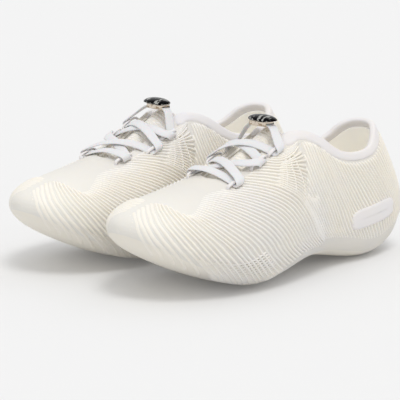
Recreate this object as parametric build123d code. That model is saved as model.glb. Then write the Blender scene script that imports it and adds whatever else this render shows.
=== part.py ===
from build123d import *
import os
from math import atan2, copysign, cos, pi, sin, sqrt, tan

# A pair of low printed lattice trainers with elastic lacing and a metal lace lock on each.
# Millimetres. +Z is up, the toes point towards -Y, the left shoe is on the +X side.
# The origin is on the ground, at the middle of the pair's bounding box.

# ---- the pair
shoe_length = 299.0
ball_width = 111.0
pair_spacing = 116.0
pair_stagger = 6.0

# ---- walls and layers
shell_wall = 3.2
sock_wall = 1.8
tongue_thickness = 2.6
outsole_height = 8.0
outsole_heel_rise = 4.0
outsole_toe_rise = 14.0
footbed_thickness = 4.0
rim_height = 7.5
rim_proud = 0.8
patch_thickness = 1.0

# ---- throat, tongue and seam
throat_centre = 3.0
throat_width = 33.0
throat_toe_share = 0.705
throat_ankle_share = 0.4
throat_cut_height = 60.0
opening_front_share = 0.487
tongue_half_width = 31.0
tongue_top_share = 0.476
tongue_toe_share = 0.75
seam_top_share = 0.445
seam_ground_share = 0.545
seam_top_height = 112.0

# ---- lacing
lace_width = 8.0
lace_thickness = 1.4
lace_clearance = 0.6
loop_bar_thickness = 1.8
loop_bar_width = 3.0
loop_leg = 1.6
lace_crossing_lift = 1.2
lace_grip = 6.0
strap_lead = 1.0
loop_side_room = 8.0
loop_root = 3.0
fold_slack = 1.0
lace_samples = 7
fold_samples = 8
strap_samples = 4

# ---- lace lock
lock_share = 0.5
lock_centre = 1.0
lock_bottom = 120.4
lock_length = 23.0
lock_width = 13.0
lock_base_height = 3.6
lock_edge_round = 0.7
lock_travel = 0.8
lock_gap = 1.0
cap_length = 27.0
cap_width = 15.5
cap_offset = 1.5
cap_crown = 4.2
cap_edge_share = 0.37
stem_radius = 2.2
stem_clearance = 0.2
stem_length = 2.3
lock_floor = 0.4
pin_radius = 0.4
pin_clearance = 0.05
pin_height = 3.1
pin_length = 11.6
pocket_depth = 6.9
pocket_floor = 0.8
slot_clearance = 0.2
port_width = 4.6
port_height = 1.6
port_depth = 1.6
port_spacing = 13.0
spring_wire = 0.3
spring_turns = 2

# ---- heel patch
patch_length = 56.0
patch_height = 17.0
patch_share = 0.195
patch_middle_height = 40.0

# The outer form, heel to toe. Each row: share of the length from the heel, lateral and
# medial half width, lowest, highest and widest heights, and the roundness of the upper
# and lower halves (2 is an ellipse, more is squarer). Half widths are for form_width.
form_width = 111.0
form = [
    (0.000, 2, 2, 36, 50, 43, 2.0, 2.0),
    (0.012, 17, 17, 21, 64, 42, 2.0, 2.0),
    (0.045, 30, 30, 7, 84, 40, 1.9, 2.2),
    (0.075, 35, 34, 2, 105, 39, 1.7, 2.4),
    (0.110, 38, 36, -0.4, 124, 38, 1.6, 2.6),
    (0.180, 42, 39, -0.8, 134, 36, 1.65, 3.0),
    (0.300, 43, 37, 5, 138, 37, 1.7, 2.8),
    (0.400, 47, 39, 10, 132, 38, 1.8, 2.6),
    (0.480, 52, 43, 7, 120, 38, 1.9, 2.5),
    (0.560, 56, 47, 1, 106, 37, 2.0, 2.5),
    (0.630, 58, 52, -0.8, 94, 37, 2.1, 2.5),
    (0.730, 58, 53, 6, 84, 38, 2.1, 2.4),
    (0.820, 53, 50, 17, 79, 42, 2.1, 2.3),
    (0.900, 43, 42, 29, 75, 48, 2.1, 2.2),
    (0.955, 30, 30, 39, 71, 53, 2.1, 2.1),
    (0.988, 15, 16, 48, 66, 57, 2.0, 2.0),
    (1.000, 2, 3, 55, 60, 58, 2.0, 2.0),
]
section_points = 24
least_half = 1.0
# The outsole's top edge follows the rows between these shares and runs on past the ends.
sole_from = 0.1
sole_to = 0.96
past_end = 0.05

# Side lines as (share of the length from the heel, height).
collar_line = [
    (-0.05, 100), (0.05, 108), (0.08, 112), (0.105, 109), (0.135, 101), (0.165, 95.5),
    (0.20, 93.5), (0.26, 93.5), (0.30, 96), (0.34, 102), (0.38, 110.5), (0.42, 116),
    (0.455, 117), (0.487, 114),
]
footbed_line = [
    (-0.05, 30), (0.10, 27), (0.20, 26), (0.40, 28), (0.55, 23), (0.64, 20),
    (0.73, 23), (0.82, 31), (0.90, 41), (0.955, 49), (1.05, 62),
]

# Lace loops as (share, lateral place, medial place), from the toe to the ankle.
loop_rows = [(0.682, 28.0, -17.0), (0.590, 25.0, -24.0), (0.530, 26.0, -21.0)]

reach = 400.0


def along(share):
    """The place along the shoe of a share of its length, measured from the heel."""
    return shoe_length / 2 - share * shoe_length


def section(row, inset):
    """One closed section of the form, drawn in by inset all round."""
    share, lateral, medial, low, high, wide, top_round, low_round = row
    y = along(share) * (1 - 2 * inset / shoe_length)
    lateral = max(lateral * ball_width / form_width - inset, least_half)
    medial = max(medial * ball_width / form_width - inset, least_half)
    rise = max(high - wide - inset, least_half)
    drop = max(wide - low - inset, least_half)
    middle = (lateral - medial) / 2
    half = (lateral + medial) / 2
    points = []
    for k in range(section_points):
        c = cos(2 * pi * k / section_points)
        s = sin(2 * pi * k / section_points)
        power = 2 / (top_round if s >= 0 else low_round)
        x = middle + copysign(abs(c) ** power * half, c)
        z = wide + copysign(abs(s) ** power * (rise if s >= 0 else drop), s)
        points.append(Vector(x, y, z))
    steps = [k / section_points for k in range(section_points + 1)]
    return Wire([Edge.make_spline(points, periodic=True, parameters=steps)])


def skin(inset):
    """The whole form as a solid, drawn in by inset (or swelled by a negative inset)."""
    return Solid.make_loft([section(row, inset) for row in form])


def under(line, lift=0.0, front=None):
    """Everything below a side line raised by lift. With front, the line ends there and
    the space ahead of it is kept up to the top."""
    points = [(along(share), height + lift) for share, height in line]
    edge = Edge.make_spline([Vector(0, y, z) for y, z in points])
    first, last = points[0], points[-1]
    if front is None:
        corners = [last, (last[0], -reach), (first[0], -reach), first]
    else:
        corners = [last, (last[0], reach), (-reach, reach), (-reach, -reach)]
        corners += [(first[0], -reach), first]
    rest = Polyline(*[(0, y, z) for y, z in corners])
    face = Face(Wire([edge] + list(rest.edges())))
    return Solid.extrude(face, Vector(2 * reach, 0, 0)).moved(Location((-reach, 0, 0)))


def slab(profile):
    """A prism across the shoe from a closed outline of (along, height) points."""
    face = Face(Wire(Polyline(*[(0, y, z) for y, z in profile], close=True).edges()))
    return Solid.extrude(face, Vector(2 * reach, 0, 0)).moved(Location((-reach, 0, 0)))


def shoe_layers():
    """The nested forms that every layer of the shoe is cut from."""
    sock_inset = shell_wall + sock_wall
    return {
        "outer": skin(0),
        "shell_inside": skin(shell_wall),
        "sock_inside": skin(sock_inset),
        "tongue_inside": skin(sock_inset + tongue_thickness),
        "rim_outside": skin(-rim_proud),
        "patch_outside": skin(-patch_thickness),
    }


def sole_line():
    """The top edge of the outsole: outsole_height above the form's lowest line."""
    line = [(row[0], row[3] + outsole_height) for row in form if sole_from < row[0] < sole_to]
    heel = line[0][1] + outsole_heel_rise
    toe = line[-1][1] + outsole_toe_rise
    return [(-past_end, heel)] + line + [(1 + past_end, toe)]


def throat_slot():
    """The opening over the instep: straight sides and a round toe end."""
    toe = along(throat_toe_share) + throat_width / 2
    ankle = along(throat_ankle_share)
    outline = Pos(throat_centre, (toe + ankle) / 2) * Rectangle(throat_width, ankle - toe)
    outline += Pos(throat_centre, toe) * Circle(throat_width / 2)
    return extrude(outline, reach).moved(Location((0, 0, throat_cut_height)))


def seam_side():
    """Everything on the toe side of the leaning seam between the two shells."""
    slope = (along(seam_top_share) - along(seam_ground_share)) / seam_top_height
    ground = along(seam_ground_share)
    low, high = ground - slope * reach, ground + slope * reach
    return slab([(low, -reach), (high, reach), (-reach, reach), (-reach, -reach)])


def on_form(face, x, y, height=0.0):
    """A point of the form's upper surface lifted along its normal, and that normal."""
    hits = face.find_intersection_points(Axis((x, y, reach), (0, 0, -1)))
    point, normal = max(hits, key=lambda hit: hit[0].Z)
    if normal.Z < 0:
        normal = -normal
    return point + normal * height, normal


def loop_frame(face, x, y):
    """Foot point, outward direction, direction along the throat, and normal of a loop."""
    point, normal = on_form(face, x, y)
    outward = Vector(copysign(1, x - throat_centre), 0, 0)
    edge_way = normal.cross(outward).normalized()
    outward = edge_way.cross(normal).normalized()
    return point, outward, edge_way, normal


# Heights over the form of the lace's middle under a bar, of the bar, and of the lace over it.
under_bar = lace_clearance + lace_thickness / 2
bar_bottom = lace_thickness + 2 * lace_clearance
over_bar = bar_bottom + loop_bar_thickness + lace_clearance + lace_thickness / 2


def lace_loop(face, x, y):
    """One printed loop: a bar on two legs, standing on the shell."""
    point, outward, _, normal = loop_frame(face, x, y)
    inner = lace_width + loop_side_room
    outer = inner + 2 * loop_leg
    top = bar_bottom + loop_bar_thickness
    frame = Plane(origin=point, x_dir=outward, z_dir=normal)
    block = Pos(0, 0, (top - loop_root) / 2) * Box(loop_bar_width, outer, top + loop_root)
    way = Box(2 * loop_bar_width, inner, bar_bottom + loop_root)
    way = Pos(0, 0, (bar_bottom - loop_root) / 2) * way
    return (frame * (block - way)).solids()[0]


def lace_corners(centre, heading, normal):
    """The four corners of one cross section of the flat lace."""
    across = normal.cross(heading).normalized() * (lace_width / 2)
    through = normal.normalized() * (lace_thickness / 2)
    corners = [across + through, across - through, -across - through, through - across]
    return [centre + corner for corner in corners]


def flat(*corners):
    """A flat face with these corners."""
    return Face(Wire(Polyline(*corners, close=True).edges()))


def ribbon(stations):
    """The solid that joins a run of cross sections with flat triangles."""
    sections = [lace_corners(*station) for station in stations]
    faces = [flat(*sections[0]), flat(*sections[-1])]
    for here, there in zip(sections, sections[1:]):
        for k in range(4):
            following = (k + 1) % 4
            faces.append(flat(here[k], here[following], there[following]))
            faces.append(flat(here[k], there[following], there[k]))
    return Solid(Shell(faces))


def leaving_angle(face, at, other):
    """The angle at a loop between its inward direction and the way to another loop."""
    point, outward, edge_way, _ = loop_frame(face, *at)
    way = on_form(face, *other)[0] - point
    return atan2(way.dot(edge_way), -way.dot(outward))


def fold(face, at, arriving, leaving, side):
    """The half turn round a loop's bar, in under it and back over it, as a list of
    (centre, heading, normal). side says which face of the lace is up."""
    point, outward, edge_way, normal = loop_frame(face, *at)
    radius = (over_bar - under_bar) / 2
    lead = loop_bar_width / 2 + fold_slack
    total = 2 * lead + pi * radius
    stations = []
    for k in range(fold_samples + 1):
        travelled = total * k / fold_samples
        angle = arriving + (leaving - arriving) * k / fold_samples
        turned = min(max((travelled - lead) / radius, 0), pi)
        out = min(travelled, lead, total - travelled) + radius * sin(turned)
        level = outward * cos(turned) + normal * sin(turned)
        up = normal * cos(turned) - outward * sin(turned)
        centre = point + outward * out + normal * (under_bar + radius * (1 - cos(turned)))
        centre += edge_way * ((travelled - total / 2) * tan(angle))
        heading = level * cos(angle) + edge_way * sin(angle)
        stations.append((centre, heading, up * side))
    return stations


def strand(face, start, end, lift, side):
    """Stations of a strand from over one loop's bar to under the next one's."""
    stations = []
    for k in range(1, lace_samples):
        t = k / lace_samples
        place = start + (end - start) * t
        height = under_bar + (over_bar - under_bar) * (1 + cos(pi * t)) / 2
        height += lift * sin(pi * t) ** 2
        centre, normal = on_form(face, place.X, place.Y, height)
        heading = end - start
        heading = (heading - normal * heading.dot(normal)).normalized()
        stations.append((centre, heading, normal * side))
    return stations


def strap(start, end):
    """Stations between a loop and the lock, turning evenly from one to the other."""
    stations = []
    for k in range(1, strap_samples):
        t = k / strap_samples
        centre = start[0] + (end[0] - start[0]) * t
        heading = start[1] * (1 - t) + end[1] * t
        normal = start[2] * (1 - t) + end[2] * t
        stations.append((centre, heading.normalized(), normal.normalized()))
    return stations


def lace(face):
    """One flat elastic lace: from the lock down the throat, across, and back to the lock."""
    lateral = [(row[1], along(row[0])) for row in loop_rows]
    medial = [(row[2], along(row[0])) for row in loop_rows]
    route = [medial[2], lateral[1], medial[0], lateral[0], medial[1], lateral[2]]
    lifts = [-lace_crossing_lift, -lace_crossing_lift, 0, lace_crossing_lift, lace_crossing_lift]
    mouth = lock_length / 2
    pocket_height = lock_bottom + pocket_floor + slot_clearance + lace_thickness / 2
    ends = []
    for way in (-1, 1):
        end = []
        for out in (mouth - lace_grip, mouth + strap_lead):
            place = Vector(lock_centre + way * out, along(lock_share), pocket_height)
            end.append((place, Vector(-1, 0, 0), Vector(0, 0, 1)))
        ends.append(end)
    lock_at = (lock_centre, along(lock_share))
    before = [lock_at] + route[:-1]
    after = route[1:] + [lock_at]
    folds = []
    side = 1
    for at, last, following in zip(route, before, after):
        arriving = -leaving_angle(face, at, last)
        leaving = leaving_angle(face, at, following)
        folds.append(fold(face, at, arriving, leaving, side))
        side = -side
    stations = list(ends[0]) + strap(ends[0][1], folds[0][0]) + folds[0]
    side = -1
    for k, lift in enumerate(lifts):
        stations += strand(face, folds[k][-1][0], folds[k + 1][0][0], lift, side) + folds[k + 1]
        side = -side
    lateral_end = list(reversed(ends[1]))
    stations += strap(folds[-1][-1], lateral_end[0]) + lateral_end
    return ribbon(stations)


def lock_frame():
    """Where the lock stands: the middle of its underside."""
    return Location((lock_centre, along(lock_share), lock_bottom))


def capsule(length, width, height):
    """A plate with round ends."""
    return extrude(SlotOverall(length, width), height)


def lock_base():
    """The lock's body: a lace pocket in each end, two ports facing the toe, and the
    spring's bore from the top with the pin's hole through it."""
    body = capsule(lock_length, lock_width, lock_base_height)
    body = fillet(body.edges().group_by(Axis.Z)[0], lock_edge_round)
    bore = stem_radius + stem_clearance
    body -= Pos(0, 0, lock_floor) * extrude(Circle(bore), lock_base_height)
    pocket = Box(pocket_depth, lace_width + 2 * slot_clearance, lace_thickness + 2 * slot_clearance,
                 align=(Align.MIN, Align.CENTER, Align.MIN))
    for way in (0, 180):
        body -= Rot(0, 0, way) * Pos(lock_length / 2 - pocket_depth, 0, pocket_floor) * pocket
    port = Box(port_width, 2 * port_depth, port_height, align=(Align.CENTER, Align.CENTER, Align.MIN))
    for way in (-1, 1):
        body -= Pos(way * port_spacing / 2, -lock_width / 2, pocket_floor) * port
    body -= Pos(0, 0, pin_height) * Rot(90, 0, 0) * Cylinder(pin_radius, 2 * lock_width)
    return body


def lock_cap():
    """The domed push plate with its stem, which the pin holds in through a slot. The dome
    is a flat ellipsoid that meets the plate's edge at cap_edge_share of its crown."""
    under = lock_base_height + lock_gap
    half_sizes = [half / sqrt(1 - cap_edge_share ** 2) for half in (cap_length / 2, cap_width / 2)]
    dome = scale(Sphere(1), (*half_sizes, cap_crown))
    plate = Pos(cap_offset, 0, under) * (capsule(cap_length, cap_width, cap_crown) & dome)
    stem = Pos(0, 0, under - stem_length) * extrude(Circle(stem_radius), stem_length + cap_crown / 2)
    low = pin_height - pin_radius - pin_clearance
    high = pin_height + pin_radius + lock_travel + pin_clearance
    slot = Pos(0, 0, (low + high) / 2) * Box(2 * (pin_radius + pin_clearance), 3 * stem_radius, high - low)
    return plate + (stem - slot)


def lock_spring():
    """The return spring, between the bore's floor and the stem."""
    height = lock_base_height + lock_gap - stem_length - lock_floor - spring_wire
    bottom = lock_floor + spring_wire / 2
    turn = Helix(pitch=height / spring_turns, height=height, radius=stem_radius - spring_wire)
    wire = sweep(Plane(origin=turn @ 0, z_dir=turn % 0) * Circle(spring_wire / 2), path=turn)
    return Pos(0, 0, bottom) * wire


def lock_pin():
    """The cross pin that keeps the stem in its bore."""
    return Pos(0, 0, pin_height) * Rot(90, 0, 0) * Cylinder(pin_radius, pin_length)


def shoe():
    """Every piece of the left shoe, about its own middle line, by name."""
    layer = shoe_layers()
    outer = layer["outer"]
    face = max(outer.faces(), key=lambda one: one.area)
    line = sole_line()
    slot = throat_slot()
    opening = under(collar_line, front=opening_front_share)
    shells_top = under(collar_line, lift=-rim_height, front=opening_front_share)
    ground = Pos(0, 0, -reach) * Box(2 * reach, 2 * reach, 2 * reach)
    sole = under(line)
    bed = under(footbed_line)
    bed_top = under(footbed_line, lift=footbed_thickness)

    walls = (((outer - layer["shell_inside"]) - sole) & shells_top) - slot
    toe_side = seam_side()
    tongue_top, tongue_toe = along(tongue_top_share), along(tongue_toe_share)
    tongue_block = Box(2 * tongue_half_width, tongue_top - tongue_toe, reach)
    tongue_block = Pos(throat_centre, (tongue_top + tongue_toe) / 2, reach / 2) * tongue_block
    tongue_block = Pos(0, 0, throat_cut_height) * tongue_block
    patch_block = extrude(SlotOverall(patch_length, patch_height, rotation=90), reach)
    patch_block = Pos(0, along(patch_share), patch_middle_height) * Rot(0, 90, 0) * patch_block
    loops = [lace_loop(face, x, along(row[0])) for row in loop_rows for x in row[1:]]

    pieces = {
        "outsole": (outer & sole) - ground,
        "midsole": (layer["shell_inside"] - sole) & bed,
        "footbed": (layer["sock_inside"] - bed) & bed_top,
        "vamp_shell": walls & toe_side,
        "heel_shell": walls - toe_side,
        "inner_sock": (((layer["shell_inside"] - layer["sock_inside"]) - bed) & shells_top) - slot,
        "collar_rim": (((layer["rim_outside"] - layer["sock_inside"]) & opening) - shells_top) - slot,
        "tongue": (layer["sock_inside"] - layer["tongue_inside"]) & tongue_block,
        "heel_patch": (layer["patch_outside"] - outer) & patch_block,
        "lace_loops": Compound(children=[loop - outer for loop in loops]),
        "lace": lace(face),
        "lock_base": lock_frame() * lock_base(),
        "lock_cap": lock_frame() * lock_cap(),
        "lock_spring": lock_frame() * lock_spring(),
        "lock_pin": lock_frame() * lock_pin(),
    }
    return pieces


def main():
    os.makedirs("parts", exist_ok=True)
    pieces = shoe()
    left = Location((pair_spacing / 2, pair_stagger / 2, 0))
    right = Location((-pair_spacing / 2, -pair_stagger / 2, 0))
    for name, piece in pieces.items():
        solids = piece.solids()
        pair = {
            "left": [solid.moved(left) for solid in solids],
            "right": [solid.mirror(Plane.YZ).moved(right) for solid in solids],
        }
        for side, group in pair.items():
            shape = group[0] if len(group) == 1 else Compound(children=group)
            export_step(shape, f"parts/{side}_{name}.step")


main()
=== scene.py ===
# %% [markdown]
# # A pair of printed lattice trainers
# Each shoe is a flexible printed shell with many thin ribs, a smooth band round the collar, an
# elastic lace and a small metal lace lock.
# The construction model is loaded first. It gives the place and the size of every part, and
# what Blender adds is laid onto its shells.

# %% Load the construction model
import bpy
import numpy as np
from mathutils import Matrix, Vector
from mathutils.bvhtree import BVHTree


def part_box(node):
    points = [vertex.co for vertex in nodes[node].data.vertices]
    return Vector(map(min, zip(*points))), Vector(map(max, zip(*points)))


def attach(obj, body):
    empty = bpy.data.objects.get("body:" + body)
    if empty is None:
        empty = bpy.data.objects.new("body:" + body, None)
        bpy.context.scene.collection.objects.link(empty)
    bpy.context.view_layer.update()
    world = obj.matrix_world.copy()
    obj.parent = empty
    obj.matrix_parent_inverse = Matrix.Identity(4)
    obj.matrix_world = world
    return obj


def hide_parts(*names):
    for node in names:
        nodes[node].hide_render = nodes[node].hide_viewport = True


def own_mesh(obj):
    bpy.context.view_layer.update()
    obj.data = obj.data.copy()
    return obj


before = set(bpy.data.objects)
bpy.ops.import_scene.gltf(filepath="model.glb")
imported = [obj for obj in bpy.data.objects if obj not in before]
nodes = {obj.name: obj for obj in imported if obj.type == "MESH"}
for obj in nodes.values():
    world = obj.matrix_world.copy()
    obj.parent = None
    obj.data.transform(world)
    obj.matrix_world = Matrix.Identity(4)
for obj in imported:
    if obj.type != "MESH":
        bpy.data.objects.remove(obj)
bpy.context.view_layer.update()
print("nodes in the model:", len(nodes))

# %% [markdown]
# ## Units and the two shoes
# The shapes below are worked out in millimetres about the middle of the left shoe, because
# that is how a shoemaker would note them. One function moves them into the model's metres.
# The lock's body shows where each shoe's middle is, and the right shoe mirrors the left one.

# %% Places of the two shoes
MM = 0.001
lock_off_centre = 1.0


def middle_of(node):
    low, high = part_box(node)
    return np.array((low + high) / 2) / MM


left_lock = middle_of("left_lock_base")
right_lock = middle_of("right_lock_base")
left_origin = np.array([left_lock[0] - lock_off_centre, left_lock[1], 0.0])
stagger = left_lock[1] - right_lock[1]
print("left shoe's middle, mm:", left_origin.round(2), "stagger, mm:", round(stagger, 2))


def to_frame(points):
    """Shoe millimetres to the model's metres, for the left shoe."""
    return (np.asarray(points, float) + left_origin) * MM


# %% [markdown]
# ## The outer form
# A shoe's last is described by cross sections from the heel to the toe. Each row here has the
# share of the length, the lateral and medial half widths, the lowest, highest and widest
# heights, and how square the upper and the lower half are. A smooth curve through each
# column gives the sections in between. The same rows shape the construction model.

# %% Sections of the form
shoe_length = 299.0
form_rows = np.array([
    (0.000, 2, 2, 36, 50, 43, 2.0, 2.0),
    (0.012, 17, 17, 21, 64, 42, 2.0, 2.0),
    (0.045, 30, 30, 7, 84, 40, 1.9, 2.2),
    (0.075, 35, 34, 2, 105, 39, 1.7, 2.4),
    (0.110, 38, 36, -0.4, 124, 38, 1.6, 2.6),
    (0.180, 42, 39, -0.8, 134, 36, 1.65, 3.0),
    (0.300, 43, 37, 5, 138, 37, 1.7, 2.8),
    (0.400, 47, 39, 10, 132, 38, 1.8, 2.6),
    (0.480, 52, 43, 7, 120, 38, 1.9, 2.5),
    (0.560, 56, 47, 1, 106, 37, 2.0, 2.5),
    (0.630, 58, 52, -0.8, 94, 37, 2.1, 2.5),
    (0.730, 58, 53, 6, 84, 38, 2.1, 2.4),
    (0.820, 53, 50, 17, 79, 42, 2.1, 2.3),
    (0.900, 43, 42, 29, 75, 48, 2.1, 2.2),
    (0.955, 30, 30, 39, 71, 53, 2.1, 2.1),
    (0.988, 15, 16, 48, 66, 57, 2.0, 2.0),
    (1.000, 2, 3, 55, 60, 58, 2.0, 2.0),
])


def smooth(knots, values, at):
    """A smooth curve through values at knots, read at the places at."""
    knots, values, at = (np.asarray(a, float) for a in (knots, values, at))
    slopes = np.gradient(values, knots, axis=0)
    k = np.clip(np.searchsorted(knots, at, side="right") - 1, 0, len(knots) - 2)
    step = knots[k + 1] - knots[k]
    t = np.clip((at - knots[k]) / step, 0, 1)
    wide = t.shape + (1,) * (values.ndim - 1)
    t, step = t.reshape(wide), step.reshape(wide)
    rise = (3 - 2 * t) * t * t
    start = (1 - rise) * values[k] + t * (1 - t) ** 2 * step * slopes[k]
    return start + rise * values[k + 1] - t * t * (1 - t) * step * slopes[k + 1]


def along(share):
    return shoe_length / 2 - np.asarray(share, float) * shoe_length


def share_at(y):
    return 0.5 - np.asarray(y, float) / shoe_length


def section(share):
    """Middle, half width, bottom, top, widest height and the two roundnesses."""
    row = smooth(form_rows[:, 0], form_rows[:, 1:], share)
    lateral, medial, low, high, wide, top_round, low_round = np.moveaxis(row, -1, 0)
    return (lateral - medial) / 2, (lateral + medial) / 2, low, high, wide, top_round, low_round


def form_point(share, girth, side=1):
    """A point of the form. girth runs from 0 on top to 1 underneath, on one side."""
    share, girth = np.broadcast_arrays(np.asarray(share, float), np.asarray(girth, float))
    middle, half, low, high, wide, top_round, low_round = section(share)
    angle = np.pi * (0.5 - girth)
    upper = angle >= 0
    power = 2 / np.where(upper, top_round, low_round)
    x = middle + side * half * np.abs(np.cos(angle)) ** power
    reach = np.where(upper, high - wide, low - wide) * np.abs(np.sin(angle)) ** power
    return np.stack([x, along(share), wide + reach], axis=-1)


def form_value(points):
    """Below 1 inside the form, above 1 outside it."""
    x, y, z = np.moveaxis(points, -1, 0)
    middle, half, low, high, wide, top_round, low_round = section(share_at(y))
    upper = z >= wide
    power = np.where(upper, top_round, low_round)
    tall = np.where(upper, high - wide, wide - low)
    return (np.abs(x - middle) / half) ** power + (np.abs(z - wide) / tall) ** power


def form_normal(points, step=0.4):
    """The outward direction of the form near these points."""
    slope = [form_value(points + d) - form_value(points - d) for d in np.eye(3) * step]
    slope = np.stack(slope, axis=-1)
    return slope / np.linalg.norm(slope, axis=-1, keepdims=True)


def form_top(x, y):
    """The point of the form's upper surface above a place on the ground."""
    x, y = np.broadcast_arrays(np.asarray(x, float), np.asarray(y, float))
    middle, half, _, high, wide, top_round, _ = section(share_at(y))
    inside = np.clip(1 - (np.abs(x - middle) / half) ** top_round, 0, 1)
    return np.stack([x, y, wide + (high - wide) * inside ** (1 / top_round)], axis=-1)


print("form's height at the instep, mm:", form_top(3.0, along(0.5))[2].round(1))

# %% [markdown]
# ## Laying things onto the shells
# The curve through the sections isn't exactly the construction model's surface. So each point
# is dropped onto the real shells with a ray, and what has no shell below it, as over the
# throat, stays where the form has it.

# %% Drop points onto the shells
outer_nodes = ["left_vamp_shell", "left_heel_shell", "left_outsole"]
corners, triangles = [], []
for name in outer_nodes:
    mesh = nodes[name].data
    first = len(corners)
    corners += [vertex.co.copy() for vertex in mesh.vertices]
    triangles += [[first + k for k in polygon.vertices] for polygon in mesh.polygons]
shells = BVHTree.FromPolygons(corners, triangles)
look_from, look_depth = 7.0, 12.0
least_facing = 0.2


def settle(points, normals):
    """The points moved along their normals onto the shells."""
    settled = np.array(points, float)
    starts = to_frame(points + normals * look_from)
    for k, (start, normal) in enumerate(zip(starts, normals)):
        hit, facing, _, _ = shells.ray_cast(Vector(start), Vector(-normal), look_depth * MM)
        if hit is not None and facing.dot(Vector(normal)) > least_facing:
            settled[k] = np.array(hit) / MM - left_origin
    return settled


trial = form_point(np.linspace(0.15, 0.9, 40), np.full(40, 0.4))
moved = np.linalg.norm(settle(trial, form_normal(trial)) - trial, axis=1)
print("largest move onto the shells, mm:", moved.max().round(2))

# %% [markdown]
# ## Making meshes
# Nearly everything added is one of two things: a strip swept along a line, or a grid. Both
# come down to rows of points joined by four-sided faces. Each of them is made for the left shoe
# and then mirrored for the right one, as a shoemaker's pattern is.

# %% Mesh helpers
made = []


class Shape:
    """Points and faces that are collected before they become one mesh."""

    def __init__(self):
        self.points, self.faces, self.count = [], [], 0

    def grid(self, rows, round_way=False, capped=False):
        """rows is an array of (row, place, xyz). round_way closes each row on itself."""
        rows = np.asarray(rows, float)
        lines, places = rows.shape[:2]
        self.points.append(rows.reshape(-1, 3))
        base = self.count
        for i in range(lines - 1):
            for j in range(places if round_way else places - 1):
                k = (j + 1) % places
                here, there = base + i * places, base + (i + 1) * places
                self.faces.append((here + j, here + k, there + k, there + j))
        if capped:
            last = base + (lines - 1) * places
            self.faces.append(tuple(base + j for j in reversed(range(places))))
            self.faces.append(tuple(last + j for j in range(places)))
        self.count += lines * places


def make_piece(name, body, points, faces, material, replaced):
    mesh = bpy.data.meshes.new(name)
    mesh.from_pydata([tuple(p) for p in points], [], faces)
    mesh.update()
    mesh.polygons.foreach_set("use_smooth", [True] * len(mesh.polygons))
    piece = bpy.data.objects.new(name, mesh)
    bpy.context.scene.collection.objects.link(piece)
    mesh.materials.append(material)
    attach(piece, body)
    if replaced:
        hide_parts(replaced)
    made.append(name)
    return piece


def make_pair(name, shape, material, body="shoe", replaced=None):
    """The piece on the left shoe, and its mirror image on the right one."""
    points = to_frame(np.concatenate(shape.points))
    mirrored = points * (-1, 1, 1) - (0, stagger * MM, 0)
    turned = [tuple(reversed(face)) for face in shape.faces]
    for side, placed, faces in (("left", points, shape.faces), ("right", mirrored, turned)):
        node = f"{side}_{replaced}" if replaced else None
        make_piece(f"{side}_{name}", f"{side}_{body}", placed, faces, material, node)
    print(f"{name}: {len(shape.faces)} faces on each shoe")


def unit(vectors):
    return vectors / np.maximum(np.linalg.norm(vectors, axis=-1, keepdims=True), 1e-9)


def running(points):
    """The distance travelled along a line of points, at each of them."""
    steps = np.linalg.norm(np.diff(points, axis=0), axis=1)
    return np.concatenate([[0], np.cumsum(steps)])


# %% [markdown]
# ## Colours and nodes
# Colours are written as the hex values a painter would pick on a screen. Blender's shaders
# work in linear light, so one function converts them. One more function adds a node, sets
# it up and links it, which keeps each material readable from top to bottom.

# %% Material helpers
def colour(hex_value):
    parts = [int(hex_value[k:k + 2], 16) / 255 for k in (0, 2, 4)]
    linear = [p / 12.92 if p <= 0.04045 else ((p + 0.055) / 1.055) ** 2.4 for p in parts]
    return (*linear, 1.0)


def node(tree, kind, links=(), **settings):
    """Adds a node. links are (input, source node, source output) and settings its values."""
    added = tree.nodes.new(kind)
    for key, value in settings.items():
        if hasattr(added, key):
            setattr(added, key, value)
        else:
            added.inputs[key.replace("_", " ")].default_value = value
    for socket, source, output in links:
        tree.links.new(source.outputs[output], added.inputs[socket])
    return added


def new_material(name):
    material = bpy.data.materials.new(name)
    material.use_nodes = True
    tree = material.node_tree
    shader = tree.nodes["Principled BSDF"]
    return material, tree, shader


def per_metre(size_mm):
    """A texture scale whose pattern repeats about every size_mm."""
    return 1 / (size_mm * MM)


# %% [markdown]
# ## Printed elastomer
# The uppers and soles are a flexible resin, printed in layers and left matt. It lets a little
# light in, which warms the grooves between the ribs. Its colour drifts slowly between a
# warm and a cool white, and towards the toe it goes over to one even tone, which is a lighter
# one on the shell. The shell shows mostly in the grooves between the ribs, and it is painted a
# darker tone than the ribs as painted shade in those grooves. Real layers are about 0.1 mm, too
# fine to show, so shallow bands about 3 mm apart are drawn instead. The real wall is an open
# lattice, so daylight comes through it and the lining is bright. The wall here is closed, and a
# weak even glow on the lining alone stands for that light.

# %% Printed elastomer finishes
toe_from, toe_to = -0.075, -0.115
# A wave texture turns through 20 radians in each unit, so this repeats every 2 pi * 0.5 mm.
layer_waves = per_metre(0.5) / 20


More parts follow.
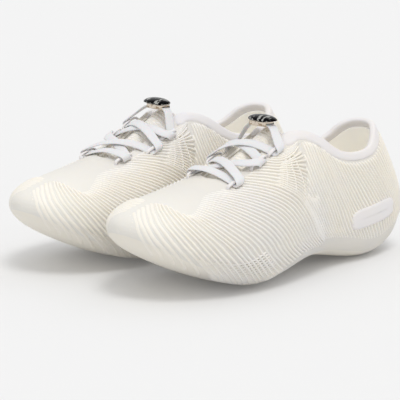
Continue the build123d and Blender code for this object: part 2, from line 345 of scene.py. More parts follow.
def printed_elastomer(name, warm, cool, roughness, grain=0.06, light_through=0.0, toe=None):
    material, tree, shader = new_material(name)
    where = node(tree, "ShaderNodeTexCoord")
    drift = node(tree, "ShaderNodeTexNoise", [("Vector", where, "Object")],
                 Scale=per_metre(60), Detail=3.0, Roughness=0.5)
    tint = node(tree, "ShaderNodeValToRGB", [("Fac", drift, "Fac")])
    tint.color_ramp.elements[0].position = 0.35
    tint.color_ramp.elements[0].color = colour(warm)
    tint.color_ramp.elements[1].position = 0.65
    tint.color_ramp.elements[1].color = colour(cool)
    layers = node(tree, "ShaderNodeTexWave", [("Vector", where, "Object")], bands_direction="Z",
                  Scale=layer_waves, Distortion=1.5, Detail=2.0)
    speckle = node(tree, "ShaderNodeTexNoise", [("Vector", where, "Object")],
                   Scale=per_metre(0.8), Detail=2.0)
    mixed = node(tree, "ShaderNodeMath", [(0, layers, "Fac"), (1, speckle, "Fac")],
                 operation="ADD")
    bump = node(tree, "ShaderNodeBump", [("Height", mixed, 0)], Strength=0.35,
                Distance=grain * MM)
    place = node(tree, "ShaderNodeSeparateXYZ", [("Vector", where, "Object")])
    forward = node(tree, "ShaderNodeMapRange", [("Value", place, "Y")], From_Min=toe_from,
                   From_Max=toe_to)
    blend = node(tree, "ShaderNodeMix", [("Factor", forward, "Result"), (6, tint, "Color")],
                 data_type="RGBA")
    blend.inputs[7].default_value = colour(toe or warm)
    tree.links.new(blend.outputs[2], shader.inputs["Base Color"])
    tree.links.new(bump.outputs["Normal"], shader.inputs["Normal"])
    shader.inputs["Roughness"].default_value = roughness
    shader.inputs["IOR"].default_value = 1.48
    shader.inputs["Specular IOR Level"].default_value = 0.35
    shader.inputs["Subsurface Weight"].default_value = 0.15
    shader.inputs["Subsurface Radius"].default_value = (1.0, 0.85, 0.6)
    shader.inputs["Subsurface Scale"].default_value = 1.5 * MM
    shader.inputs["Emission Color"].default_value = colour(warm)
    shader.inputs["Emission Strength"].default_value = light_through
    return material


rib_print = printed_elastomer("matt printed elastomer, ribs", "F1ECE2", "EDEAE6", 0.5)
# The shell is painted a darker tone than the ribs, as painted shade in the grooves between them.
shell_print = printed_elastomer("matt printed elastomer, shell", "E1DDD5", "DDDAD5", 0.6,
                                toe="E5E2DB")
inner_print = printed_elastomer("matt printed elastomer, lining", "FBF8F1", "F9F7F1", 0.7,
                                light_through=0.11)
sole_print = printed_elastomer("matt printed elastomer, sole", "ECE7DC", "E9E5DF", 0.55)
# The open cells' darker tone is painted shade, standing for the dark inside the lattice's holes.
painted_cell_shade = printed_elastomer("painted shade in the open cells", "B3AD9E", "ADA89B", 0.8)
rim_print = printed_elastomer("smooth printed elastomer, collar", "E6E2E0", "E3E1E3", 0.5, 0.02)

# %% [markdown]
# ## Foam, webbing and metals
# The footbed is an open-cell foam, so it gets small pits, and each pit is painted a little darker
# towards its bottom as shade. The lace is a knitted elastic tape, drawn with a fine mottle about
# 1 mm across. The lock's push plate is polished black chrome, and the pale streaks in its colour
# are a painted reflection that stands for what such a plate reflects. The lock's body is bright
# nickel with a faint champagne tone. The spring is plain drawn steel wire.

# %% Foam, webbing and metal finishes
def open_cell_foam():
    material, tree, shader = new_material("open cell foam")
    where = node(tree, "ShaderNodeTexCoord")
    cells = node(tree, "ShaderNodeTexVoronoi", [("Vector", where, "Object")], Scale=per_metre(1.6))
    bump = node(tree, "ShaderNodeBump", [("Height", cells, "Distance")], Strength=0.5,
                Distance=0.3 * MM)
    # The tone follows the pits and is darker at their bottoms: painted shade in the pits.
    tone = node(tree, "ShaderNodeValToRGB", [("Fac", cells, "Distance")])
    tone.color_ramp.elements[0].color = colour("EDE7DB")
    tone.color_ramp.elements[1].color = colour("FAF6EC")
    tree.links.new(tone.outputs["Color"], shader.inputs["Base Color"])
    tree.links.new(bump.outputs["Normal"], shader.inputs["Normal"])
    shader.inputs["Roughness"].default_value = 0.85
    return material


def elastic_tape():
    material, tree, shader = new_material("knitted elastic tape")
    where = node(tree, "ShaderNodeTexCoord")
    knit = node(tree, "ShaderNodeTexNoise", [("Vector", where, "Object")],
                Scale=per_metre(1.0), Detail=3.0)
    tone = node(tree, "ShaderNodeValToRGB", [("Fac", knit, "Fac")])
    tone.color_ramp.elements[0].color = colour("D7D7DA")
    tone.color_ramp.elements[1].color = colour("E3E2E2")
    bump = node(tree, "ShaderNodeBump", [("Height", knit, "Fac")], Strength=0.4,
                Distance=0.12 * MM)
    tree.links.new(tone.outputs["Color"], shader.inputs["Base Color"])
    tree.links.new(bump.outputs["Normal"], shader.inputs["Normal"])
    shader.inputs["Roughness"].default_value = 0.7
    shader.inputs["Sheen Weight"].default_value = 0.15
    shader.inputs["Subsurface Weight"].default_value = 0.1
    shader.inputs["Subsurface Scale"].default_value = 1.0 * MM
    return material


def metal(name, tint, streak, roughness, scratch):
    """A polished metal with patchy roughness, and stretched streaks of a second tone in its
    colour, which on the black chrome are a painted reflection.
    """
    material, tree, shader = new_material(name)
    where = node(tree, "ShaderNodeTexCoord")
    marks = node(tree, "ShaderNodeTexNoise", [("Vector", where, "Object")],
                 Scale=per_metre(3.0), Detail=4.0)
    spread = node(tree, "ShaderNodeMapRange", [("Value", marks, "Fac")],
                  To_Min=roughness, To_Max=roughness + scratch)
    tree.links.new(spread.outputs["Result"], shader.inputs["Roughness"])
    streak_stretch = node(tree, "ShaderNodeMapping", [("Vector", where, "Object")],
                  Rotation=(0.0, 0.0, 0.7), Scale=(1.0, 0.22, 1.0))
    streaks = node(tree, "ShaderNodeTexNoise", [("Vector", streak_stretch, "Vector")],
                   Scale=per_metre(2.4), Detail=1.0)
    tone = node(tree, "ShaderNodeValToRGB", [("Fac", streaks, "Fac")])
    tone.color_ramp.elements[0].position = 0.56
    tone.color_ramp.elements[0].color = colour(tint)
    tone.color_ramp.elements[1].position = 0.64
    tone.color_ramp.elements[1].color = colour(streak)
    tree.links.new(tone.outputs["Color"], shader.inputs["Base Color"])
    shader.inputs["Metallic"].default_value = 1.0
    return material


foam = open_cell_foam()
tape = elastic_tape()
# The black chrome's pale streak tone B4B4B0 is a painted reflection that stands for what the
# polished plate reflects.
black_chrome = metal("polished black chrome", "101012", "B4B4B0", 0.06, 0.05)
nickel = metal("bright nickel plate", "D9CDBE", "B5A48F", 0.14, 0.08)
steel = metal("drawn spring steel", "A8A8A6", "8E8E8C", 0.25, 0.1)

# %% [markdown]
# ## Finishes of the construction parts
# The shells, lining, soles, footbeds and the locks' small metal parts have their true shape
# already, so they stay as they are and only take their finish.

# %% Dress the construction parts
finishes = {
    "vamp_shell": shell_print, "heel_shell": shell_print, "inner_sock": inner_print,
    "outsole": sole_print, "midsole": sole_print, "footbed": foam, "lock_base": nickel,
    "lock_cap": black_chrome, "lock_spring": steel, "lock_pin": steel,
}
for side in ("left", "right"):
    for name, material in finishes.items():
        mesh = nodes[f"{side}_{name}"].data
        mesh.materials.clear()
        mesh.materials.append(material)

# %% [markdown]
# ## Families of ribs
# The ribs fan out over the shoe. Rather than draw each one, a few guide lines are given, each
# with five places (share of the length, girth) from its upper end to its lower end, and the
# ribs between two guides follow both. How many fit in is worked out from the real distance
# between the guides and the pitch of the print there.

# %% Guide lines and the ribs between them
rib_pitch, fan_pitch, toe_pitch = 3.1, 2.0, 4.6
front_pitches = [toe_pitch] * 2 + [3.8, 3.2, 2.8] + [rib_pitch] * 3 + [fan_pitch, 1.6]
quarters = np.linspace(0, 1, 5)

front_guides = np.array([
    [(0.965, 0.00), (0.985, 0.20), (0.992, 0.45), (0.985, 0.70), (0.960, 0.86)],
    [(0.940, 0.00), (0.968, 0.16), (0.978, 0.38), (0.965, 0.60), (0.912, 0.86)],
    [(0.910, 0.00), (0.943, 0.14), (0.957, 0.34), (0.935, 0.57), (0.845, 0.875)],
    [(0.890, 0.02), (0.922, 0.16), (0.930, 0.36), (0.885, 0.58), (0.762, 0.875)],
    [(0.885, 0.08), (0.900, 0.22), (0.890, 0.38), (0.830, 0.57), (0.690, 0.875)],
    [(0.870, 0.20), (0.858, 0.29), (0.828, 0.40), (0.760, 0.54), (0.620, 0.85)],
    [(0.838, 0.13), (0.798, 0.235), (0.745, 0.345), (0.672, 0.47), (0.560, 0.68)],
    [(0.792, 0.055), (0.738, 0.18), (0.672, 0.29), (0.595, 0.41), (0.485, 0.62)],
    [(0.680, 0.105), (0.620, 0.21), (0.562, 0.30), (0.503, 0.39), (0.405, 0.60)],
    [(0.575, 0.14), (0.552, 0.185), (0.523, 0.213), (0.493, 0.225), (0.455, 0.228)],
    [(0.535, 0.145), (0.520, 0.167), (0.500, 0.18), (0.478, 0.187), (0.452, 0.190)],
])
rear_guides = np.array([
    [(0.515, 0.19), (0.520, 0.27), (0.505, 0.35), (0.468, 0.44), (0.392, 0.60)],
    [(0.462, 0.20), (0.462, 0.27), (0.450, 0.35), (0.414, 0.44), (0.341, 0.60)],
    [(0.418, 0.21), (0.408, 0.30), (0.386, 0.37), (0.348, 0.45), (0.288, 0.61)],
    [(0.390, 0.25), (0.366, 0.32), (0.337, 0.39), (0.297, 0.47), (0.243, 0.62)],
    [(0.350, 0.27), (0.318, 0.34), (0.282, 0.41), (0.246, 0.48), (0.200, 0.63)],
    [(0.280, 0.29), (0.240, 0.35), (0.200, 0.41), (0.163, 0.48), (0.126, 0.63)],
    [(0.200, 0.29), (0.166, 0.34), (0.128, 0.40), (0.096, 0.47), (0.066, 0.62)],
    [(0.120, 0.22), (0.088, 0.30), (0.060, 0.38), (0.040, 0.46), (0.028, 0.60)],
    [(0.085, 0.05), (0.056, 0.11), (0.030, 0.20), (0.014, 0.34), (0.010, 0.60)],
])


def guide_places(guides, number, down):
    """(share, girth) at a guide number, which may lie between two guides, and down it."""
    five = smooth(np.arange(len(guides)), guides, np.array(number))
    return smooth(quarters, five, down)


def guide_gap(guides, first):
    """The mean real distance from one guide to the next, in mm."""
    down = np.linspace(0, 1, 25)
    here, there = (form_point(*guide_places(guides, n, down).T) for n in (first, first + 1))
    apart = np.linalg.norm(here[:, None] - there[None], axis=2)
    return apart.min(axis=1)[4:-4].mean()


def rib_numbers(guides, pitches):
    """The guide numbers at which the ribs lie, one pitch apart."""
    numbers = []
    for first, pitch in zip(range(len(guides) - 1), pitches):
        count = max(1, round(guide_gap(guides, first) / pitch))
        numbers += [first + k / count for k in range(count)]
    return numbers + [len(guides) - 1.0]


front_numbers = rib_numbers(front_guides, front_pitches)
rear_numbers = rib_numbers(rear_guides, [rib_pitch] * (len(rear_guides) - 1))
# Where the front lines draw together at their upper ends, every second rib starts lower down.
late_first, late_last = 8, 9
late_ribs = [number for number in front_numbers if late_first < number < late_last][::2]
print("front ribs on each side:", len(front_numbers), "rear ribs:", len(rear_numbers))

# %% [markdown]
# ## Where the ribs stop
# The two shells meet at a seam that leans forward as it goes down. On its upper part the front
# ribs stop at it and the rear ribs start behind it, and lower down both run past it. The rear
# ribs also start below the collar, and both fade at their lower ends. Each rule gives a height
# that scales the rib at that place: 0 for none, 1 for a full one, a little more where the
# lattice opens.

# %% Rules for the ends of the ribs
collar_line = np.array([
    (-0.05, 100), (0.05, 108), (0.08, 112), (0.105, 109), (0.135, 101), (0.165, 95.5),
    (0.20, 93.5), (0.26, 93.5), (0.30, 96), (0.34, 102), (0.38, 110.5), (0.42, 116),
    (0.455, 117), (0.487, 114),
])
rim_height = 7.5
seam_top, seam_ground, seam_top_height = 0.445, 0.545, 112.0
seam_open_above = 66.0
front_stop, rear_stop = (1.8, 0.6), (0.6, 2.0)
lattice_lift = 0.3
lattice_behind, lattice_heights = (-30.0, -10.0), (62.0, 74.0)
front_fade, rear_fade, rim_fade = 0.975, 0.9, 2.5
late_start = 0.35
# By guide number: the share of a front rib's length over which it rises, and how high it gets.
rise_numbers, rise_lengths = [4.0, 5.5, 7.6, 8.0], [0.07, 0.3, 0.3, 0.07]
full_numbers, full_heights = [0.0, 1.5, 4.0], [0.42, 0.62, 1.0]


def collar_height(share):
    return smooth(collar_line[:, 0], collar_line[:, 1], share)


def behind_seam(points):
    """How far a point lies behind the seam, in mm. It is negative on the toe side."""
    seam = seam_ground + (seam_top - seam_ground) * points[:, 2] / seam_top_height
    return (seam - share_at(points[:, 1])) * shoe_length


def ramp(value, start, end):
    return np.clip((value - start) / (end - start), 0, 1)


def open_lattice(points):
    """1 where the print opens into a lattice beside the seam, 0 elsewhere."""
    beside = ramp(behind_seam(points), *lattice_behind)
    return beside * ramp(points[:, 2], *lattice_heights)


def seam_stop(points, limits):
    """The height a rib keeps at the upper part of the seam, and 1 below that part."""
    return np.where(points[:, 2] > seam_open_above, ramp(behind_seam(points), *limits), 1.0)


def front_height(points, number, down):
    start = np.interp(number, rise_numbers, rise_lengths)
    first = late_start if number in late_ribs else 0.0
    keep = ramp(down, first, first + start) * ramp(down, 1.0, front_fade)
    keep = keep * np.interp(number, full_numbers, full_heights)
    return keep * seam_stop(points, front_stop) * (1 + lattice_lift * open_lattice(points))


def rear_height(points, number, down):
    keep = ramp(down, 1.0, rear_fade)
    below_rim = collar_height(share_at(points[:, 1])) - rim_height - points[:, 2]
    return keep * seam_stop(points, rear_stop) * ramp(below_rim, 0.0, rim_fade)


# %% [markdown]
# ## The ribs themselves
# A printed rib is a rounded bead about 2 mm wide that stands up to 1.4 mm above the shell
# behind it, and at the toe the ribs are wider and lower. Each is swept as half an ellipse whose
# feet are sunk into the shell, and where its height goes to nothing the whole bead is under the
# surface.

# %% Sweep the ribs
rib_width, rib_stand, rib_sink = 2.05, 1.4, 0.5
toe_rib_width, toe_ribs_end = 3.7, 2.5
rib_step = 2.6
bead_angles = np.linspace(0, np.pi, 7)


def bead(shape, points, normals, height, width, stand):
    """Adds one bead along a line. height from 0 to 1 scales how far it stands out."""
    tangents = unit(np.gradient(points, axis=0))
    across = unit(np.cross(tangents, normals))
    outward = unit(np.cross(across, tangents))
    lift = (stand + rib_sink) * height - rib_sink * (1 - height)
    side_way = np.cos(bead_angles)[None, :, None] * across[:, None] * width / 2
    up_way = np.sin(bead_angles)[None, :, None] * (outward * lift[:, None])[:, None]
    shape.grid((points - outward * rib_sink)[:, None] + side_way + up_way)


def keep_runs(height):
    """The stretches of a line where it stands above nothing, as slices."""
    shown = np.concatenate([[False], height > 0.02, [False]])
    starts, ends = np.flatnonzero(~shown[:-1] & shown[1:]), np.flatnonzero(shown[:-1] & ~shown[1:])
    return [slice(max(a - 1, 0), b + 1) for a, b in zip(starts, ends) if b - a > 2]


def lay_line(shape, places, side, height_rule, number, down, width, stand):
    """Lays one bead along (share, girth) places on one side of the shoe."""
    points = form_point(places[:, 0], places[:, 1], side)
    count = max(6, int(running(points)[-1] / rib_step))
    even = np.interp(np.linspace(0, 1, count), running(points) / running(points)[-1], down)
    places = np.stack([np.interp(even, down, places[:, k]) for k in (0, 1)], axis=1)
    points = form_point(places[:, 0], places[:, 1], side)
    normals = form_normal(points)
    points = settle(points, normals)
    height = height_rule(points, number, even)
    for run in keep_runs(height):
        bead(shape, points[run], normals[run], height[run], width, stand)


def lay_family(name, guides, numbers, widths, height_rule, material):
    shape = Shape()
    down = np.linspace(0, 1, 60)
    for side in (1, -1):
        for number, width in zip(numbers, widths):
            places = guide_places(guides, number, down)
            lay_line(shape, places, side, height_rule, number, down, width, rib_stand)
    make_pair(name, shape, material)


front_widths = np.interp(front_numbers, [toe_ribs_end - 1, toe_ribs_end + 1],
                         [toe_rib_width, rib_width])
rear_widths = [rib_width] * len(rear_numbers)
lay_family("front_ribs", front_guides, front_numbers, front_widths, front_height, rib_print)
lay_family("rear_ribs", rear_guides, rear_numbers, rear_widths, rear_height, rib_print)

# %% [markdown]
# ## Cross bars
# Under the ribs the print has a second layer that runs across them. It shows only where the
# lattice opens up: beside the seam and low on the forefoot. The bars are lower than the ribs,
# so they break the grooves between them into short lengths.

# %% Lay the cross bars
bar_width, bar_stand = 1.6, 1.2
bar_pitch, bar_fade = 3.6, 0.06
halfway_down = 0.5
bar_zones = [
    # first and last guide number, first and last place down the guides
    (7.9, 10.0, 0.50, 0.76),
    (2.8, 6.0, 0.79, 0.975),
]


def bar_places(first, last, start, end):
    """How far down the guides of a zone its bars lie, one pitch apart."""
    down = np.linspace(start, end, 30)
    middle_line = form_point(*guide_places(front_guides, (first + last) / 2, down).T)
    return np.linspace(start, end, max(2, round(running(middle_line)[-1] / bar_pitch)))


def bar_height(points, number, along_bar):
    ends = ramp(along_bar, 0.0, bar_fade) * ramp(along_bar, 1.0, 1 - bar_fade)
    return ends * front_height(points, number, np.full(len(points), halfway_down))


def lay_bars():
    shape = Shape()
    for first, last, start, end in bar_zones:
        middle = (first + last) / 2
        numbers = np.linspace(first, last, 60)
        for place in bar_places(first, last, start, end):
            places = np.array([guide_places(front_guides, n, np.array(place)) for n in numbers])
            for side in (1, -1):
                lay_line(shape, places, side, bar_height, middle, np.linspace(0, 1, 60),
                         bar_width, bar_stand)
    make_pair("cross_bars", shape, rib_print)


lay_bars()

# %% [markdown]
# ## Open cells
# Between the ribs and the cross bars the real lattice is open, and each cell is a small
# shaded hole. The construction shell is closed, so no hole goes through it. A low oval in a
# darker tone, one in each cell, is painted shade that stands for the dark inside the hole.

# %% Fill the open cells
cell_long, cell_wide, cell_rise = 1.5, 0.9, 0.25
cell_margin, cell_top_share, cell_foot = 0.3, 0.4, 0.1
cell_turn = np.linspace(0, 2 * np.pi, 8, endpoint=False)


def lay_cells():
    shape = Shape()
    numbers = (np.array(front_numbers[1:]) + np.array(front_numbers[:-1])) / 2
    for first, last, start, end in bar_zones:
        inside = (numbers > first + cell_margin) & (numbers < last - cell_margin)
        bars = bar_places(first, last, start, end)
        for number in numbers[inside]:
            places = guide_places(front_guides, number, (bars[1:] + bars[:-1]) / 2)
            for side in (1, -1):
                points = form_point(places[:, 0], places[:, 1], side)
                normals = form_normal(points)
                points = settle(points, normals)
                tangents = unit(np.gradient(points, axis=0))
                across = unit(np.cross(tangents, normals))
                shown = behind_seam(points) < 0
                for point, normal, tangent, cross in zip(points[shown], normals[shown],
                                                         tangents[shown], across[shown]):
                    edge = np.cos(cell_turn)[:, None] * tangent * cell_long / 2
                    edge = edge + np.sin(cell_turn)[:, None] * cross * cell_wide / 2
                    top = point + normal * cell_rise + edge * cell_top_share
                    foot = point + normal * cell_foot + edge
                    shape.grid([top, foot], round_way=True, capped=True)
    make_pair("open_cell_shade", shape, painted_cell_shade)


lay_cells()

# %% [markdown]
# ## Collar rim
# A soft, smooth roll runs round the ankle opening. Its middle line is where the form has the
# collar's height, found by walking out from the inside of the shoe in every direction. The
# roll's section is a rounded rectangle that leans with the form, and its two ends are drawn in
# where they run under the lace.

# %% Sweep the collar rim
rim_inner, rim_outer = -4.9, 0.9
rim_roundness = 3.2
walk_from = np.array([2.0, float(along(0.30))])
throat_centre, throat_half = 3.0, 16.5
front_share, front_aside = 0.483, 1.0
walk_reach = 110.0
rim_end_round, rim_end_blunt = 0.015, 0.002
least_lean = 0.6


def rim_directions(count=150):
    aside, y = throat_half + front_aside, float(along(front_share))
    angles = [np.arctan2(y - walk_from[1], throat_centre + way * aside - walk_from[0])
              for way in (1, -1)]
    return np.linspace(angles[0], angles[1] + 2 * np.pi, count)


def rim_line():
    """The middle line of the roll, half its height below the collar's edge."""
    turn = rim_directions()
    way = np.stack([np.cos(turn), np.sin(turn)], axis=1)
    near, far = np.zeros(len(turn)), np.full(len(turn), walk_reach)
    for _ in range(40):
        tried = (near + far) / 2
        plan = walk_from + way * tried[:, None]
        height = collar_height(share_at(plan[:, 1])) - rim_height / 2
        inside = form_value(np.column_stack([plan, height])) < 1
        near, far = np.where(inside, tried, near), np.where(inside, far, tried)
    return np.column_stack([plan, height])


def sweep_rim():
    points = rim_line()
    steps = running(points)
    points = smooth(steps, points, np.linspace(0, steps[-1], 190))
    normals = form_normal(points)
    tangents = unit(np.gradient(points, axis=0))
    down = unit(np.cross(tangents, normals))
    down *= -np.sign(down[:, 2:3])
    half = rim_height / 2 / np.clip(-down[:, 2], least_lean, 1.0)
    turn = np.linspace(0, 2 * np.pi, 28, endpoint=False)
    power = 2 / rim_roundness
    out = np.sign(np.cos(turn)) * np.abs(np.cos(turn)) ** power * (rim_outer - rim_inner) / 2
    low = np.sign(np.sin(turn)) * np.abs(np.sin(turn)) ** power
    place = np.linspace(0, 1, len(points))
    begin = ramp(place, -rim_end_blunt, rim_end_round)
    ends = np.sqrt(begin * ramp(place, 1 + rim_end_blunt, 1 - rim_end_round))
    middle = points + normals * (rim_outer + rim_inner) / 2
    sideways = normals[:, None] * (out[None, :] * ends[:, None])[..., None]
    upward = down[:, None] * (low[None, :] * (half * ends)[:, None])[..., None]
    shape = Shape()
    shape.grid(middle[:, None] + sideways + upward, round_way=True, capped=True)
    print("collar's length round the opening, mm:", steps[-1].round(0))
    make_pair("collar_roll", shape, rim_print, replaced="collar_rim")


sweep_rim()

# %% [markdown]
# ## Tongue
# The tongue lies 5 mm below the outer form and shows through the throat. It is printed with
# fine ribs that run across it, and the foot pushes it up between the eyestays. A grid with a
# small wave along the shoe gives the ribs, and a plain underside closes the plate.

# %% Shape the tongue
tongue_top, tongue_toe = 0.476, 0.75
tongue_half = 30.5
tongue_depth, tongue_thickness = 5.2, 2.4
tongue_rib_pitch, tongue_rib_stand = 2.8, 0.8
tongue_swell, tongue_swell_half, tongue_swell_from = 4.4, 16.0, 0.66
lines_per_rib = 8


def shape_tongue():
    length = (tongue_toe - tongue_top) * shoe_length
    lines = int(length / tongue_rib_pitch * lines_per_rib)
    shares = np.linspace(tongue_top, tongue_toe, lines)
    across = np.linspace(throat_centre - tongue_half, throat_centre + tongue_half, 41)
    grid_x, grid_share = np.meshgrid(across, shares)
    points = form_top(grid_x, along(grid_share))
    normals = form_normal(points)
    wave = np.abs(np.sin(np.pi * (grid_share - tongue_top) * shoe_length / tongue_rib_pitch))
    aside = np.clip(np.abs(grid_x - throat_centre) / tongue_swell_half, 0, 1)
    swell = tongue_swell * np.cos(aside * np.pi / 2) ** 2
    swell = swell * ramp(grid_share, tongue_toe, tongue_swell_from)
    upper = points - normals * (tongue_depth + tongue_rib_stand * (1 - wave) - swell)[..., None]
    lower = points - normals * (tongue_depth + tongue_thickness - swell)[..., None]
    shape = Shape()
    shape.grid(np.concatenate([upper, lower[:, ::-1]], axis=1), round_way=True, capped=True)
    make_pair("ribbed_tongue", shape, rib_print, replaced="tongue")


shape_tongue()

# %% [markdown]
# ## Heel patch
# A low smooth pad sits on the outer side of the heel. It carries nothing. It is drawn as
# rings of a rounded outline that rise from the shell to an even top, so its edge is soft.

# %% Raise the heel patch
patch_share, patch_height_mm = 0.195, 40.0
patch_length, patch_tall = 56.0, 17.0
patch_stand, patch_edge = 1.8, 2.6
patch_slope = np.radians(6)
patch_roundness = 5.0
# Each ring: how many edge widths it is drawn in, and its share of the full height.
patch_rings = ((0.0, -0.4), (0.1, 0.5), (0.35, 0.85), (0.7, 0.98), (1.0, 1.0), (3.2, 1.0))


def raise_patch():
    shape = Shape()
    turn = np.linspace(0, 2 * np.pi, 120, endpoint=False)
    square = 2 / patch_roundness
    length_way = np.sign(np.cos(turn)) * np.abs(np.cos(turn)) ** square
    height_way = np.sign(np.sin(turn)) * np.abs(np.sin(turn)) ** square
    rings = []
    for drawn_in, lift in patch_rings:
        along_patch = length_way * (patch_length / 2 - patch_edge * drawn_in)
        up_patch = height_way * max(patch_tall / 2 - patch_edge * drawn_in, 0.1)
        y = float(along(patch_share)) + along_patch * np.cos(patch_slope)
        z = patch_height_mm + up_patch + along_patch * np.sin(patch_slope)
        middle, half, low, high, wide, top_round, low_round = section(share_at(y))
        power = np.where(z > wide, top_round, low_round)
        tall = np.where(z > wide, high - wide, wide - low)
        x = middle + half * (1 - (np.abs(z - wide) / tall) ** power) ** (1 / power)
        points = np.stack([x, y, z], axis=1)
        normals = form_normal(points)
        rings.append(settle(points, normals) + normals * patch_stand * lift)
    shape.grid(rings, round_way=True)
    last = shape.count - len(turn)
    shape.faces.append(tuple(last + j for j in range(len(turn))))
    make_pair("heel_pad", shape, rim_print, replaced="heel_patch")


raise_patch()

# %% [markdown]
# ## Lace loops
# Six printed loops stand along the throat, three on each side, and the lace runs through
# them. Each is a bar on two legs, all one rounded rod. Its line is a flattened arch over
# the lace, with its feet in the shell.

# %% Print the lace loops
loop_rows = [(0.682, 28.0, -17.0), (0.590, 25.0, -24.0), (0.530, 26.0, -21.0)]
lace_width, lace_thickness = 8.0, 1.4
lace_clearance, loop_bar, loop_bar_width = 0.6, 1.8, 3.0
loop_half_span, foot_sink = 8.8, 1.6
arch_side, arch_top = 0.55, 0.45
under_bar = lace_clearance + lace_thickness / 2
bar_middle = lace_thickness + 2 * lace_clearance + loop_bar / 2
over_bar = bar_middle + loop_bar / 2 + lace_clearance + lace_thickness / 2


def on_form(x, y, height=0.0):
    point = form_top(x, y)[None]
    normal = form_normal(point)
    point = settle(point, normal)
    return point[0] + normal[0] * height, normal[0]


def loop_axes(x, y):
    """Foot point, direction away from the throat, direction along it, and normal."""
    point, normal = on_form(x, y)
    outward = np.array([np.copysign(1.0, x - throat_centre), 0.0, 0.0])
    edge_way = unit(np.cross(normal, outward))
    return point, unit(np.cross(edge_way, normal)), edge_way, normal


def print_loops():
    shape = Shape()
    turn = np.linspace(0, 2 * np.pi, 14, endpoint=False)
    arch = np.linspace(0, np.pi, 25)
    for share, lateral, medial in loop_rows:
        for x in (lateral, medial):
            point, outward, edge_way, normal = loop_axes(x, float(along(share)))
            side_way = np.sign(np.cos(arch)) * np.abs(np.cos(arch)) ** arch_side * loop_half_span
            up_way = (bar_middle + foot_sink) * np.sin(arch) ** arch_top - foot_sink
            line = point + edge_way * side_way[:, None] + normal * up_way[:, None]
            way = unit(np.gradient(line, axis=0))
            through = unit(np.cross(way, outward))
            rings = [p + outward * (np.cos(turn) * loop_bar_width / 2)[:, None]
                     + t * (np.sin(turn) * loop_bar / 2)[:, None] for p, t in zip(line, through)]
            shape.grid(rings, round_way=True, capped=True)
    make_pair("printed_loops", shape, rim_print, replaced="lace_loops")


print_loops()

# %% [markdown]
# ## Lace
# One flat elastic lace runs from the lock down the throat and back, in under each bar and out
# over it, and both ends are held in the lock. It is a fixed length that the shoe holds all the
# way, so its route is the construction model's. The section is a flat oval, drawn a little
# thicker than the construction model's lace.

# %% Route the lace
crossing_lift, lace_grip, strap_lead, fold_slack = 1.2, 6.0, 1.0, 1.0
lock_length, pocket_middle = 23.0, 1.7
lock_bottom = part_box("left_lock_base")[0].z / MM
lock_place = np.array([lock_off_centre, 0.0])
tape_thickness, tape_squareness = 1.9, 0.75


def leaving_angle(at, other):
    point, outward, edge_way, _ = loop_axes(*at)
    way = on_form(*other)[0] - point
    return np.arctan2(way @ edge_way, -(way @ outward))


def fold(at, arriving, leaving, side, count=12):
    """The half turn round a loop's bar, as (centre, heading, normal) stations."""
    point, outward, edge_way, normal = loop_axes(*at)
    radius = (over_bar - under_bar) / 2
    lead = loop_bar_width / 2 + fold_slack
    total = 2 * lead + np.pi * radius
    stations = []
    for k in range(count + 1):
        travelled = total * k / count
        angle = arriving + (leaving - arriving) * k / count
        turned = min(max((travelled - lead) / radius, 0), np.pi)
        out = min(travelled, lead, total - travelled) + radius * np.sin(turned)
        level = outward * np.cos(turned) + normal * np.sin(turned)
        up = normal * np.cos(turned) - outward * np.sin(turned)
        centre = point + outward * out + normal * (under_bar + radius * (1 - np.cos(turned)))
        centre = centre + edge_way * (travelled - total / 2) * np.tan(angle)
        heading = level * np.cos(angle) + edge_way * np.sin(angle)
        stations.append((centre, heading, up * side))
    return stations


def strand(start, end, lift, side, count=12):
    """Stations from over one bar to under the next."""
    stations = []
    for k in range(1, count):
        t = k / count
        place = start + (end - start) * t
        height = under_bar + (over_bar - under_bar) * (1 + np.cos(np.pi * t)) / 2
        centre, normal = on_form(place[0], place[1], height + lift * np.sin(np.pi * t) ** 2)
        heading = end - start
        heading = unit(heading - normal * (heading @ normal))
        stations.append((centre, heading, normal * side))
    return stations


def strap(start, end, count=6):
    """Stations that turn evenly from one place to another, along a straight line."""
    stations = []
    for k in range(1, count):
        t = k / count
        parts = [start[n] * (1 - t) + end[n] * t for n in range(3)]
        stations.append((parts[0], unit(parts[1]), unit(parts[2])))
    return stations


def lace_stations():
    lateral = [(row[1], float(along(row[0]))) for row in loop_rows]
    medial = [(row[2], float(along(row[0]))) for row in loop_rows]
    route = [medial[2], lateral[1], medial[0], lateral[0], medial[1], lateral[2]]
    lifts = [-crossing_lift, -crossing_lift, 0.0, crossing_lift, crossing_lift]
    ends = []
    for way in (-1, 1):
        reach = (lock_length / 2 - lace_grip, lock_length / 2 + strap_lead)
        height = lock_bottom + pocket_middle
        ends.append([(np.array([lock_place[0] + way * r, lock_place[1], height]),
                      np.array([-1.0, 0, 0]), np.array([0, 0, 1.0])) for r in reach])
    before, after = [tuple(lock_place)] + route[:-1], route[1:] + [tuple(lock_place)]
    folds = []
    for k, (at, last, following) in enumerate(zip(route, before, after)):
        side = 1 if k % 2 == 0 else -1
        folds.append(fold(at, -leaving_angle(at, last), leaving_angle(at, following), side))
    stations = ends[0] + strap(ends[0][1], folds[0][0]) + folds[0]
    for k, lift in enumerate(lifts):
        side = -1 if k % 2 == 0 else 1
        stations += strand(folds[k][-1][0], folds[k + 1][0][0], lift, side) + folds[k + 1]
    return stations + strap(folds[-1][-1], ends[1][1]) + list(reversed(ends[1]))


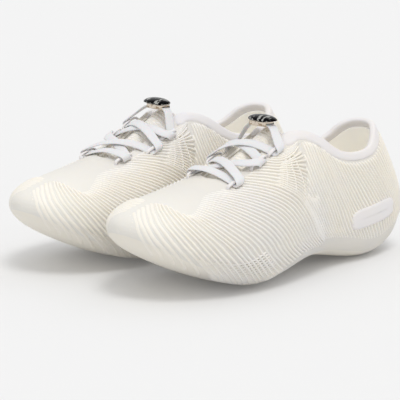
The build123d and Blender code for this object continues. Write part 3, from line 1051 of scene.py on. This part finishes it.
def weave_lace():
    stations = lace_stations()
    centres = np.array([s[0] for s in stations])
    headings = unit(np.array([s[1] for s in stations]))
    ups = unit(np.array([s[2] for s in stations]))
    turn = np.linspace(0, 2 * np.pi, 20, endpoint=False)
    wide = np.sign(np.cos(turn)) * np.abs(np.cos(turn)) ** tape_squareness * lace_width / 2
    tall = np.sin(turn) * tape_thickness / 2
    across = unit(np.cross(ups, headings))
    rings = centres[:, None] + across[:, None] * wide[None, :, None]
    rings = rings + ups[:, None] * tall[None, :, None]
    for _ in range(2):
        rings[1:-1] = (rings[:-2] + 2 * rings[1:-1] + rings[2:]) / 4
    shape = Shape()
    shape.grid(rings, round_way=True, capped=True)
    print("lace's length, mm:", running(centres)[-1].round(0))
    make_pair("elastic_lace", shape, tape, replaced="lace")


weave_lace()

# %% [markdown]
# ## Coil springs
# The spring under each push plate gets shorter when the plate is pressed, and a rigid copy
# would poke through the plate. Each spring here is copied into a piece of its own, with a mesh
# of its own, in place of the construction spring.

for side in ("left", "right"):
    wire = nodes[f"{side}_lock_spring"].data
    places = [tuple(vertex.co) for vertex in wire.vertices]
    wire_faces = [tuple(polygon.vertices) for polygon in wire.polygons]
    coil = make_piece(f"{side}_coil_spring", f"{side}_shoe", places, wire_faces,
                      steel, f"{side}_lock_spring")
    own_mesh(coil)

# %% [markdown]
# ## Floor and light
# The pair stands on a matt pale floor with a weak glow of its own. The glow stands for a table
# lit from below, and keeps the shadows light. One broad, soft-edged light comes from above and
# the front. The world is an even near-white to the camera, while the light rays see it get
# brighter towards the zenith. In low views a faint line shows where the floor ends.

# %% Floor and lights
floor_half = 12.0
table_glow = 0.05
corners = [(x, y, 0.0) for x, y in ((-1, -1), (1, -1), (1, 1), (-1, 1))]
floor_mesh = bpy.data.meshes.new("floor")
floor_points = [(x * floor_half, y * floor_half, z) for x, y, z in corners]
floor_mesh.from_pydata(floor_points, [], [(0, 1, 2, 3)])
floor = bpy.data.objects.new("floor", floor_mesh)
bpy.context.scene.collection.objects.link(floor)
floor_paint, _, floor_shader = new_material("matt white floor")
floor_shader.inputs["Base Color"].default_value = colour("DFDFDF")
floor_shader.inputs["Roughness"].default_value = 0.9
floor_shader.inputs["Emission Color"].default_value = colour("FFFFFF")
floor_shader.inputs["Emission Strength"].default_value = table_glow
floor_shader.inputs["Specular IOR Level"].default_value = 0.1
floor_mesh.materials.append(floor_paint)

horizon_light, zenith_light, camera_level = 0.70, 1.06, 1.0
world = bpy.data.worlds.new("studio")
bpy.context.scene.world = world
world.use_nodes = True
sky = world.node_tree.nodes["Background"]
sky.inputs["Color"].default_value = colour("F7F7F7")
studio_tree = world.node_tree
direction = node(studio_tree, "ShaderNodeTexCoord")
parts = node(studio_tree, "ShaderNodeSeparateXYZ", [("Vector", direction, "Generated")])
rise = node(studio_tree, "ShaderNodeMapRange", [("Value", parts, "Z")],
            To_Min=horizon_light, To_Max=zenith_light)
rays = node(studio_tree, "ShaderNodeLightPath")
level = node(studio_tree, "ShaderNodeMix",
             [("Factor", rays, "Is Camera Ray"), (2, rise, "Result")], data_type="FLOAT")
level.inputs[3].default_value = camera_level
studio_tree.links.new(level.outputs[0], sky.inputs["Strength"])


def broad_light(name, place, spread, strength):
    """A distant light with a soft edge, so that the whole floor is lit evenly."""
    light = bpy.data.lights.new(name, "SUN")
    light.angle = np.radians(spread)
    light.energy = strength
    lamp = bpy.data.objects.new(name, light)
    lamp.rotation_euler = Vector(place).to_track_quat("Z", "Y").to_euler()
    bpy.context.scene.collection.objects.link(lamp)


light_from, light_spread, light_strength = (0.42, -0.2, 1.0), 20.0, 1.0
broad_light("overhead light", light_from, light_spread, light_strength)

# %% [markdown]
# ## Camera
# A long lens from a metre and a half away keeps the shoes' true proportions. It looks from in
# front and to one side, a little above the shoes.

# %% Camera
camera_turn, camera_rise = np.radians(47.0), np.radians(12.5)
camera_distance = 1.5
target = Vector((0.0, 0.003, 0.045))
away = Vector((
    np.sin(camera_turn) * np.cos(camera_rise),
    -np.cos(camera_turn) * np.cos(camera_rise),
    np.sin(camera_rise),
))
lens = bpy.data.cameras.new("camera")
lens.lens = 162.0
lens.sensor_width = 36.0
lens.shift_x = -0.0275
lens.shift_y = 0.0125
camera = bpy.data.objects.new("camera", lens)
camera.location = target + away * camera_distance
camera.rotation_euler = (-away).to_track_quat("-Z", "Y").to_euler()
bpy.context.scene.collection.objects.link(camera)
bpy.context.scene.camera = camera
bpy.context.scene.view_settings.view_transform = "Standard"

# %% [markdown]
# ## The end
# The number of pieces made is printed.

# %% Count the pieces and finish
print("pieces made:", len(made))
